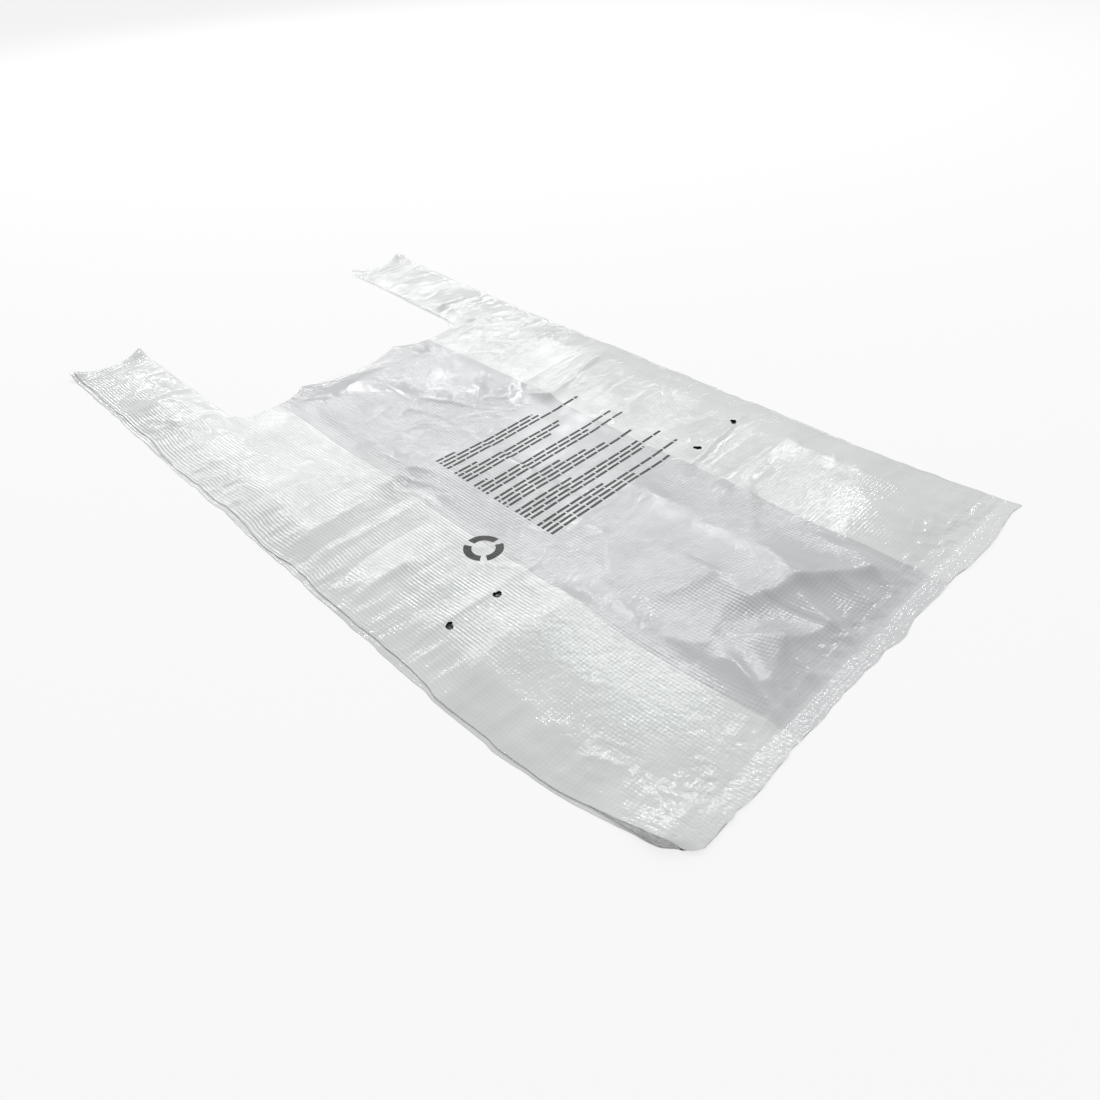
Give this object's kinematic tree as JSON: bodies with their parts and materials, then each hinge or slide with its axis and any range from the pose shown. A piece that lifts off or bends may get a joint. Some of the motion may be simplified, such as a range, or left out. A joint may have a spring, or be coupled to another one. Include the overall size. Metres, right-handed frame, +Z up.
{
  "type": "plastic carrier bag",
  "caption": "Empty vest carrier bag of thin white embossed film, lying flat: side gussets tucked in, welded bottom, cut-out mouth between two flat loop handles",
  "frame": {"origin": "middle of the bag's box on the surface it lies on", "axes": "+Y runs from the welded bottom edge to the handle tips, +X across the bag, +Z up through the flat plies from the back panel to the front panel"},
  "size_m": [0.306, 0.5662, 0.0118],
  "materials": {
    "film": "thin translucent white blown film with a fine 2 mm square emboss, satin gloss; paler where four plies lie over each other"
  },
  "bodies": {
    "root": {"carrier_bag": "film"}
  },
  "joints": []
}
